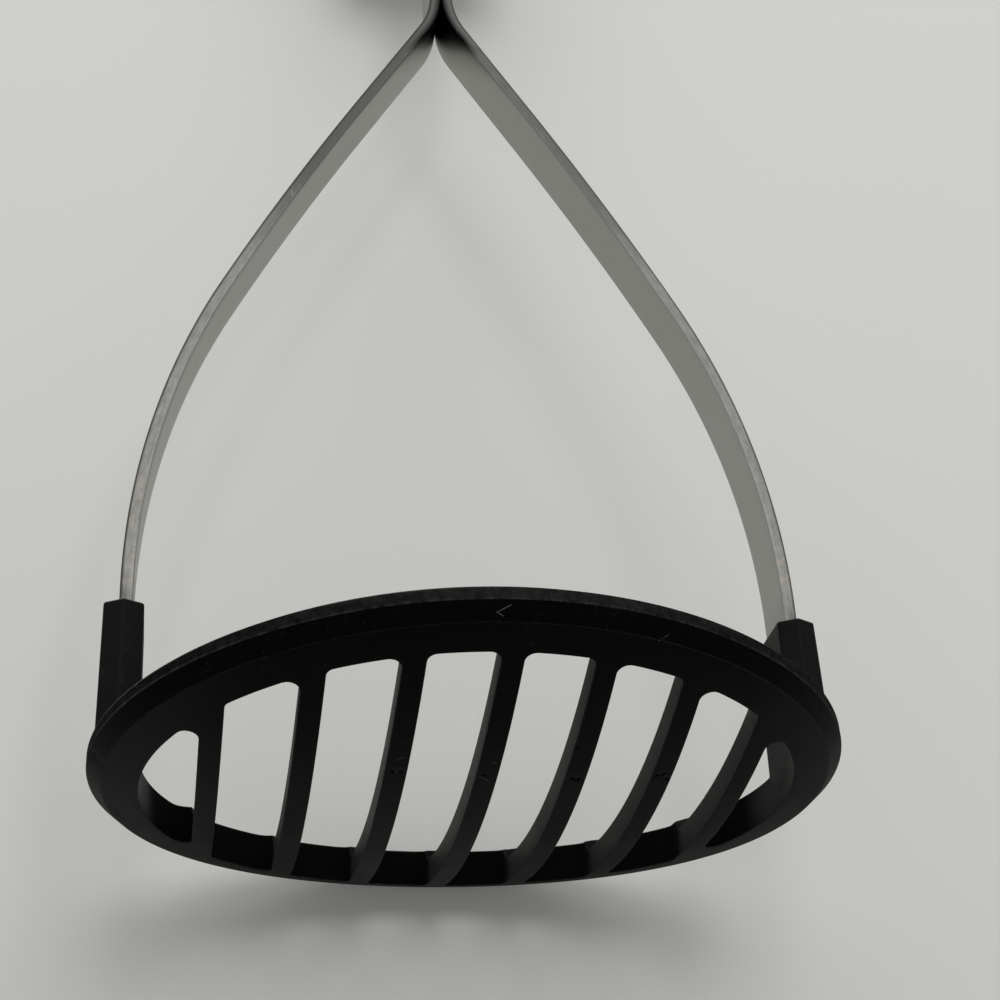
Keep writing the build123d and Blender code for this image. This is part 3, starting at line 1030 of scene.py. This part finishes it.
# Paler speckle: real wear on edges, painted light on sideways walls and the rim's outer wall, and
# painted highlights on front edges
WEAR_AND_SHEEN_GREY = 0.05
WORN_GREY = 0.06
# Painted highlight along the front edge of the rim's bevel
BEVEL_HIGHLIGHT_GREY = 0.03
# Painted highlight along the rear edge of the rim's outer wall, on the left
REAR_HIGHLIGHT_GREY = 0.16
SCRATCH_GREYS = (0.03, 0.11)


def black_nylon():
    """Dull black nylon of the head: grained, scratched and worn paler on edges, with painted light
    and shade on its walls and face and painted highlights along its edges.
    """
    finish = Finish("black_nylon", Specular_IOR_Level=0.04)
    tree = finish.tree
    tone = finish.use("tone", Patch_Size=26.0, Mottle=0.7)["Tone"]
    grain = finish.use("grain", Grain_Size=0.35, Pit_Spacing=2.2)
    scratches = finish.use("scratches", Spacing=1.8, Width=0.014)["Scratches"]
    edge = finish.mark("edge")
    wall = finish.mark("wall")
    wear = finish.use("wear", Edge=edge, Breakup_Size=1.1)["Wear"]
    speckle = ranged(tree, noise(tree, finish.place, 2.6, 4.0, 0.75), 0.56, 0.72)

    def patchy(greys, warmth=0.0):
        return finish.layer(grey(greys[0], warmth), grey(greys[1], warmth), tone)

    # The walls, and the parts of them that look different
    place = split(tree, finish.place)
    to_side = sums(tree, "ABSOLUTE", place["X"])
    level = ranged(tree, sums(tree, "ABSOLUTE", wall), 0.6, 0.0)
    slot_wall = times(tree, ranged(tree, wall, 0.2, 1.0), ranged(tree, wall, 1.8, 1.0))
    rim_wall = ranged(tree, wall, 1.1, 1.9)
    socket = ranged(tree, wall, 2.1, 2.9)
    # Painted shade: the rim's outer wall darker towards its sides
    rim_sides_shade = times(
        tree, rim_wall, ranged(tree, wall, 2.9, 2.1), ranged(tree, to_side, 12.0, 42.0))
    # Painted light: slot and socket walls that face sideways are paler
    sideways = sums(tree, "ABSOLUTE", split(tree, finish.facing())["X"])
    lit_side_wall = times(
        tree, sums(tree, "MAXIMUM", slot_wall, socket),
        ranged(tree, sideways, 0.92, 0.992, soft=True),
        # painted shade: the paler side walls fade out near the slots' lower ends
        sums(tree, "SUBTRACT", 1.0, finish.mark("end")))
    # Paler speckle: real wear on the edges, and painted light on the sideways walls and the rim's
    # outer wall
    wear_and_sheen = sums(tree, "ADD", times(tree, lit_side_wall, 0.4), times(tree, edge, 0.2))
    wear_and_sheen = sums(tree, "ADD", wear_and_sheen, ranged(tree, wall, 1.1, 1.9, 0.02, 0.14))
    # Painted highlight along the rounded front edges of the slots and, faintly, the rim's outer
    # corner
    corner = times(
        tree, ranged(tree, edge, 0.7, 1.0), ranged(tree, wall, 1.0, -0.4),
        ranged(tree, wall, -0.9, -0.4))
    # Painted highlight, broken by speckle, along the bevel's front edge, stronger towards the right
    bevel_highlight = times(
        tree, ranged(tree, edge, 0.15, 0.3), ranged(tree, wall, -0.1, -0.3),
        ranged(tree, wall, -0.9, -0.7), ranged(tree, place["X"], 5.0, 40.0, 0.15, 0.9))
    # Painted highlight along the rim wall's rear edge, on the left side only
    rear_highlight = times(
        tree, ranged(tree, edge, 0.5, 0.9), ranged(tree, wall, 1.5, 1.7),
        ranged(tree, place["X"], -34.0, -44.0))
    scratches = times(tree, scratches, mixed(tree, slot_wall, 1.0, 0.1))

    # The colours, each over those before it
    finish.colour = patchy(FACE_GREYS)
    finish.coat(grey(BEVEL_GREY), ranged(tree, wall, 0.0, -0.8))
    finish.coat(patchy(SLOT_GREYS), slot_wall)
    # painted light: the rim's outer wall paler than the face
    finish.coat(patchy(RIM_GREYS), rim_wall)
    finish.coat(grey(RIM_SIDES_SHADE_GREY), rim_sides_shade, 0.75)
    # painted light: face and back paler towards the left and right
    finish.coat(grey(FACE_SIDES_LIT_GREY), level, ranged(tree, to_side, 30.0, 50.0, soft=True))
    finish.coat(grey(SPECKLE_GREY), speckle, ranged(tree, wall, 0.9, 0.0), 0.14)
    finish.coat(patchy(SOCKET_GREYS, 0.02), socket)
    finish.coat(grey(SIDE_WALL_LIT_GREY, 0.02), lit_side_wall, 0.85)
    finish.coat(grey(WEAR_AND_SHEEN_GREY), speckle, wear_and_sheen)
    finish.coat(grey(WORN_GREY), wear, 0.5)
    # painted highlight on the slots' front edges and the rim's outer corner
    finish.coat(grey(WEAR_AND_SHEEN_GREY), corner, 0.35)
    finish.coat(grey(BEVEL_HIGHLIGHT_GREY), bevel_highlight, mixed(tree, speckle, 0.5, 1.0))
    finish.coat(grey(REAR_HIGHLIGHT_GREY), rear_highlight)
    finish.coat(grey(SCRATCH_GREYS[0]), scratches, 0.22)
    for start, end, width, paleness in SCRATCHES:
        ends = [from_head(u, v, front_surface(u, v)) / MM for u, v in (start, end)]
        line = add(tree, "ShaderNodeGroup", {
            "Place": finish.place, "Start": ends[0], "End": ends[1], "Width": width,
        }, node_tree=GROUPS["long scratch"]).outputs["Scratch"]
        finish.coat(grey(SCRATCH_GREYS[1]), line, paleness)
    rough = mixed(tree, tone, 0.48, 0.6)
    rough = sums(tree, "ADD", rough, times(tree, wear, 0.1))
    dull = times(tree, slot_wall, ranged(tree, lit_side_wall, 0.0, 0.6, 0.4, 0.0))
    dull = sums(tree, "ADD", dull, times(tree, rim_sides_shade, 0.4))
    return finish.done(
        sums(tree, "ADD", rough, dull),
        sums(tree, "SUBTRACT", grain["Height"], times(tree, scratches, 0.8)), 0.35, 0.06)


# Greys of the strips, each with its warmth, the colours of the dirt on them, and the greys of
# painted shade and a painted dark reflection
FACE_STEEL = ((0.34, 0.04), (0.41, 0.03), (0.36, 0.05))
CUT_STEEL = ((0.175, 0.05), (0.245, 0.03))
UPPER_CUT_STEEL = (0.085, 0.03)
SCRATCHED_STEEL = (0.5, 0.02)
# Painted shade on the strips' outer corners
CORNER_SHADE = (0.04, 0.1)
FOOT_DIRT = (0.05, 0.1)
# Painted dark reflection between the strips near the neck
CREVICE_REFLECTION_GREY = 0.006
BEIGE_PATCHES = (0.285, 0.25, 0.222, 1.0)
# Brownish fringe of that painted reflection, and how far it reaches
BROWN_REFLECTION_HAZE = (0.11, 0.095, 0.085, 1.0)
HAZE_REACH = 7.0
# Heights of the tool between which each of these comes in
BEIGE_HEIGHTS = (75.0, 40.0)
UPPER_HEIGHTS = (92.0, 112.0)
FOOT_HEIGHTS = (TOWER_TOP + 7.0, TOWER_TOP + 1.5)


def strip_steel():
    """Dull brushed strip: lines along its run, mottled cut edges, dirt at the foot, painted shade
    on the outer corners and a painted dark reflection where the strips meet.
    """
    finish = Finish("strip_steel", Metallic=1.0)
    tree = finish.tree
    across = split(tree, finish.mark("across", "Vector"))
    to_right = split(tree, finish.place)["X"]
    run = finish.mark("run")
    along = joined(tree, across["X"], run, across["Y"])
    lines = finish.use("brushed", along, Fineness=0.16, Length=14.0)["Lines"]
    tone = finish.use("tone", Patch_Size=18.0, Mottle=0.6)["Tone"]
    scratches = finish.use("scratches", Spacing=2.2, Width=0.012)["Scratches"]
    mottle = noise(tree, stretched(tree, along, (1.0, 0.4, 1.0)), 1.1, 5.0, 0.7)
    mottle = ranged(tree, mottle, 0.35, 0.68)
    outward = times(tree, across["X"], sums(tree, "SIGN", to_right))

    # The flat face, and the cut edge that the table and the camera see
    face = finish.layer(grey(*FACE_STEEL[0]), grey(*FACE_STEEL[1]), lines)
    face = finish.layer(face, grey(*FACE_STEEL[2]), times(tree, tone, 0.5))
    cut_steel = finish.layer(grey(*CUT_STEEL[0]), grey(*CUT_STEEL[1]), mottle)
    bare = ranged(tree, noise(tree, finish.place, 0.8, 3.0, 0.6), 0.52, 0.62)
    lower = ranged(tree, run, *map(run_to, BEIGE_HEIGHTS))
    cut_steel = finish.layer(cut_steel, BEIGE_PATCHES, times(tree, bare, lower, 0.75))
    upper = times(
        tree, ranged(tree, run, *map(run_to, UPPER_HEIGHTS)),
        ranged(tree, to_right, -5.0, 5.0, 0.9, 0.65))
    cut_steel = finish.layer(cut_steel, grey(*UPPER_CUT_STEEL), upper)
    upward = sums(tree, "ABSOLUTE", split(tree, finish.facing())["Z"])
    cut = ranged(tree, upward, 0.55, 0.95, soft=True)
    finish.colour = finish.layer(face, cut_steel, cut)

    # Painted shade on the outer corner, and dark dirt at the foot
    reach = sums(tree, "ABSOLUTE", across["Y"])
    corner = ranged(tree, reach, STRIP_WIDE / 2 - 0.55, STRIP_WIDE / 2 - 0.3)
    finish.coat(grey(*CORNER_SHADE), corner, ranged(tree, outward, 0.5, 0.8), 0.8)
    foot = times(
        tree, ranged(tree, run, *map(run_to, FOOT_HEIGHTS)),
        ranged(tree, outward, -0.3, 0.4, 0.3, 1.0))
    finish.coat(grey(*FOOT_DIRT), foot, mixed(tree, mottle, 0.95, 0.3))

    # Painted dark reflection between the strips, with a brownish fringe, up to a line that slants
    # across them
    begins, full, slope = CREVICE
    slant = Vector((
        0.0, math.cos(TILT) + slope * math.sin(TILT), slope * math.cos(TILT) - math.sin(TILT)))
    near_neck = vectors(tree, "DOT_PRODUCT", finish.place, slant, output="Value")
    begins, full = (slant.dot(from_tool(0, 0, place) / MM) for place in (begins, full))
    inner = ranged(tree, outward, 0.2, -0.8)
    haze = ranged(tree, near_neck, begins - HAZE_REACH, full, soft=True)
    finish.coat(BROWN_REFLECTION_HAZE, haze, inner, 0.5)
    finish.coat(grey(CREVICE_REFLECTION_GREY), ranged(tree, near_neck, begins, full, soft=True), inner)
    finish.coat(grey(*SCRATCHED_STEEL), scratches, 0.15)
    rough = mixed(tree, lines, 0.36, 0.5)
    return finish.done(
        sums(tree, "ADD", rough, times(tree, cut, 0.16)),
        sums(tree, "ADD", lines, times(tree, mottle, cut)), 0.3, 0.03)


def turned_steel(name, light, roughness, fineness):
    """Steel with fine lines round the handle's own axis."""
    finish = Finish(name, Metallic=1.0)
    tree = finish.tree
    laid = stretched(tree, finish.place, (1.0, 1.0, 1.0), (TILT, 0.0, 0.0))
    axes = split(tree, laid)
    around = joined(tree, axes["Y"], axes["X"], times(tree, axes["Z"], 0.05))
    lines = finish.use("brushed", around, Fineness=fineness, Length=30.0)["Lines"]
    tone = finish.use("tone", Patch_Size=14.0, Mottle=0.4)["Tone"]
    scratches = finish.use("scratches", Spacing=8.0, Width=0.01)["Scratches"]
    finish.colour = finish.layer(grey(light * 0.8, 0.02), grey(light, 0.02), lines)
    finish.coat(grey(light * 0.7, 0.04), tone, 0.35)
    finish.coat(grey(light * 0.5), scratches, 0.4)
    return finish.done(
        mixed(tree, lines, roughness - 0.06, roughness + 0.08),
        lines, 0.2, 0.02)


def grip_rubber():
    """Soft black rubber: powdery, faintly scuffed, with painted shade in the grooves."""
    finish = Finish("grip_rubber", Specular_IOR_Level=0.25)
    tree = finish.tree
    tone = finish.use("tone", Patch_Size=22.0, Mottle=0.8)["Tone"]
    grain = finish.use("grain", Grain_Size=0.28, Pit_Spacing=3.4)
    scratches = finish.use("scratches", Spacing=12.0, Width=0.012)["Scratches"]
    groove = finish.mark("groove")
    finish.colour = finish.layer(grey(0.010), grey(0.019, -0.01), tone)
    # painted shade in the grooves
    finish.coat(grey(0.005), groove)
    finish.coat(grey(0.05), scratches, 0.35)
    return finish.done(
        mixed(tree, tone, 0.62, 0.78),
        grain["Height"], 0.4, 0.08)


def hard_plastic(name, dark, light, roughness, level):
    """Moulded plastic of the cap and the core."""
    finish = Finish(name, Specular_IOR_Level=level)
    tree = finish.tree
    tone = finish.use("tone", Patch_Size=16.0, Mottle=0.5)["Tone"]
    grain = finish.use("grain", Grain_Size=0.4, Pit_Spacing=4.0)
    scratches = finish.use("scratches", Spacing=7.0, Width=0.012)["Scratches"]
    finish.colour = finish.layer(grey(dark), grey(light), tone)
    finish.coat(grey(light * 3), scratches, 0.45)
    return finish.done(
        mixed(tree, tone, roughness, roughness + 0.1),
        sums(tree, "SUBTRACT", grain["Height"], scratches), 0.25, 0.05)


def table_paint():
    """Smooth pale table, faintly uneven."""
    finish = Finish("table_paint", Specular_IOR_Level=0.2)
    tone = finish.use("tone", Patch_Size=180.0, Mottle=0.15)["Tone"]
    finish.colour = finish.layer(grey(0.598, 0.035), grey(0.610, 0.035), tone)
    return finish.done(mixed(finish.tree, tone, 0.55, 0.62))


# Putting it together

head = make_mash_head()
head.data.materials.append(black_nylon())
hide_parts("mash_head")
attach(head, "root")

flat_bar = bar_tree()
steel = strip_steel()
for side, node in ((-1, "left_strip"), (1, "right_strip")):
    strip = make_strip(side, node + "_bar", flat_bar, steel)
    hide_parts(node)
    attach(strip, "root")

sleeve = make_sleeve(grip_rubber())
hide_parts("soft_grip")
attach(sleeve, "root")

rivet_steel = turned_steel("rivet_steel", 0.5, 0.38, 0.2)
for node, material in (
    ("neck_collar", turned_steel("collar_steel", 0.55, 0.3, 0.12)),
    ("handle_core", hard_plastic("core_nylon", 0.02, 0.03, 0.5, 0.3)),
    ("tang_rivets", rivet_steel),
    ("end_cap", hard_plastic("cap_plastic", 0.011, 0.018, 0.3, 0.4)),
    ("hang_eyelet", turned_steel("eyelet_steel", 0.6, 0.2, 0.15)),
    ("cap_pin", rivet_steel),
):
    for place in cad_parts[node].material_slots:
        place.material = material

# Table, lamps and camera

TABLE_REACH = 3.0
table_corners = [
    (x * TABLE_REACH, y * TABLE_REACH, 0) for x, y in ((-1, -1), (1, -1), (1, 1), (-1, 1))]
table_mesh = bpy.data.meshes.new("table_top")
table_mesh.from_pydata(table_corners, [], [(0, 1, 2, 3)])
table = into_scene("table_top", table_mesh)
table_mesh.materials.append(table_paint())

world = bpy.data.worlds.new("studio")
bpy.context.scene.world = world
world.use_nodes = True
sky = world.node_tree.nodes["Background"].inputs
sky["Color"].default_value = (1, 1, 1, 1)
sky["Strength"].default_value = 0.45


def soft_lamp(name, place, target, size, power):
    data = bpy.data.lights.new(name, "AREA")
    data.shape = "RECTANGLE"
    data.size, data.size_y = size
    data.energy = power
    lamp = into_scene(name, data)
    lamp.location = place
    lamp.rotation_euler = (Vector(target) - Vector(place)).to_track_quat("-Z", "Y").to_euler()


soft_lamp("overhead", (0.04, 0.16, 0.75), (0.0, -0.05, 0.0), (0.35, 0.3), 1.8)
soft_lamp("window", (0.0, 0.42, 0.70), (0.0, -0.05, 0.0), (1.9, 0.6), 4.0)

camera_data = bpy.data.cameras.new("camera")
camera = into_scene("camera", camera_data)
bpy.context.scene.camera = camera
camera_data.sensor_width = 36.0
camera_data.lens = 69.428
# Where the camera stands in the head's frame, and its right, down and forward directions
# as u, v and -m
EYE = (-42.96, 251.65, -110.16)
LOOK_RIGHT = (0.98561, 0.15895, 0.05754)
LOOK_DOWN = (0.03867, -0.54333, 0.83863)
LOOK_FORWARD = (0.16456, -0.82433, -0.54166)
origin = from_head(0, 0, 0)
right, down, forward = [
    ((from_head(u, v, -ahead) - origin) / MM).normalized()
    for u, v, ahead in (LOOK_RIGHT, LOOK_DOWN, LOOK_FORWARD)
]
eye = from_head(*EYE)
camera.matrix_world = Matrix((
    (right.x, -down.x, -forward.x, eye.x),
    (right.y, -down.y, -forward.y, eye.y),
    (right.z, -down.z, -forward.z, eye.z),
    (0, 0, 0, 1),
))

bpy.context.scene.view_settings.view_transform = "Standard"
